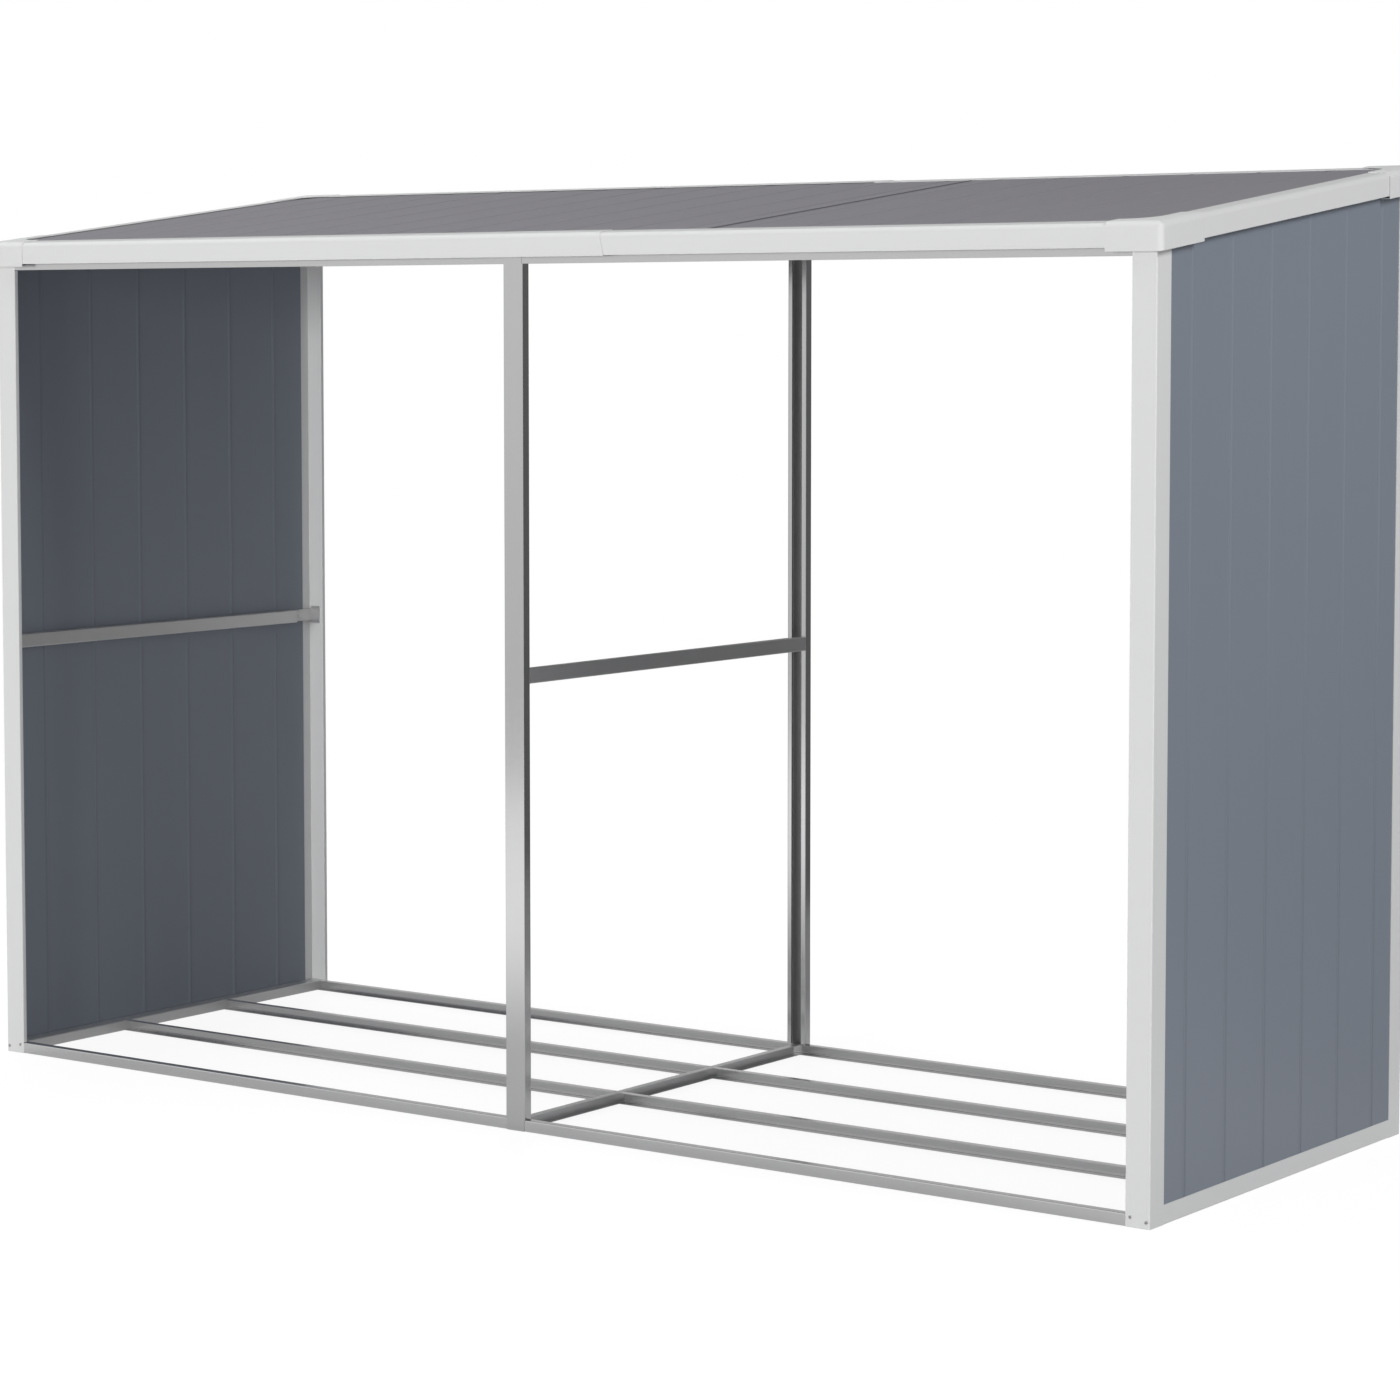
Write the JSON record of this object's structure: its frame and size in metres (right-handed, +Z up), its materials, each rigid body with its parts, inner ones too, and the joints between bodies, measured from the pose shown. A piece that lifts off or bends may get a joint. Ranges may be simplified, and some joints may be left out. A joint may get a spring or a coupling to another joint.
{
  "type": "log store",
  "caption": "Open-fronted steel log store with a lean-to ribbed roof, sheet sides, white corner posts, a slim centre frame between two bays and a floor frame of channels.",
  "frame": {"origin": "on the ground, under the middle of the frame", "axes": "+X to the right along the open front, +Y from the open front to the back, +Z up"},
  "size_m": [2.4328, 0.8728, 1.5956],
  "materials": {
    "galvanised": "plain galvanised steel, satin, with a faint spangle",
    "white_paint": "off-white powder coat, satin",
    "panel_paint": "blue-grey coil coat, satin",
    "roof_paint": "blue-grey coil coat, satin",
    "cap_plastic": "off-white moulded plastic, matt"
  },
  "bodies": {
    "root": {"front_base_rail": "galvanised", "rear_base_rail": "galvanised", "left_base_rail": "galvanised", "right_base_rail": "galvanised", "centre_base_rail": "galvanised", "left_front_runner": "galvanised", "left_rear_runner": "galvanised", "right_front_runner": "galvanised", "right_rear_runner": "galvanised", "left_base_trim": "white_paint", "right_base_trim": "white_paint", "front_left_post": "white_paint", "front_right_post": "white_paint", "rear_left_post": "white_paint", "rear_right_post": "white_paint", "front_centre_post": "galvanised", "rear_centre_post": "galvanised", "left_mid_rail": "galvanised", "right_mid_rail": "galvanised", "centre_mid_rail": "galvanised", "left_front_bracket": "galvanised", "left_rear_bracket": "galvanised", "right_front_bracket": "galvanised", "right_rear_bracket": "galvanised", "left_side_panel": "panel_paint", "right_side_panel": "panel_paint", "front_top_rail": "galvanised", "rear_top_rail": "galvanised", "left_roof_sheet": "roof_paint", "right_roof_sheet": "roof_paint", "front_left_fascia": "white_paint", "front_right_fascia": "white_paint", "rear_left_fascia": "white_paint", "rear_right_fascia": "white_paint", "left_verge_trim": "white_paint", "right_verge_trim": "white_paint", "front_left_cap": "cap_plastic", "front_right_cap": "cap_plastic", "rear_left_cap": "cap_plastic", "rear_right_cap": "cap_plastic"}
  },
  "joints": []
}
